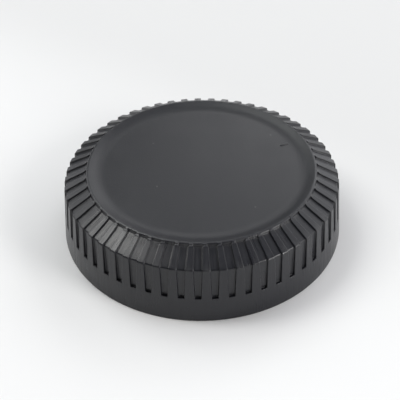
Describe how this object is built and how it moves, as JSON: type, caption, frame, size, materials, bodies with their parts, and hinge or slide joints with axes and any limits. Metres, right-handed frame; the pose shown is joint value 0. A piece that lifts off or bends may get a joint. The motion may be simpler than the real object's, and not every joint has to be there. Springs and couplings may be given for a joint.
{
  "type": "rear lens cap",
  "caption": "Shallow round moulded cap with a grooved grip round its bevel and skirt, a recessed flat top and inward bayonet lugs in its open rim.",
  "frame": {"origin": "centre of the open rim's plane, at the bottom of the bounding box, where the cap rests on a table", "axes": "+Z is the cap's round axis, from the open rim to the closed face; -Y faces the picture's camera, and +X is to its right"},
  "size_m": [0.052, 0.052, 0.0133],
  "materials": {
    "cap_plastic": "fine matte moulded black plastic"
  },
  "bodies": {
    "root": {"cap": "cap_plastic"}
  },
  "joints": []
}
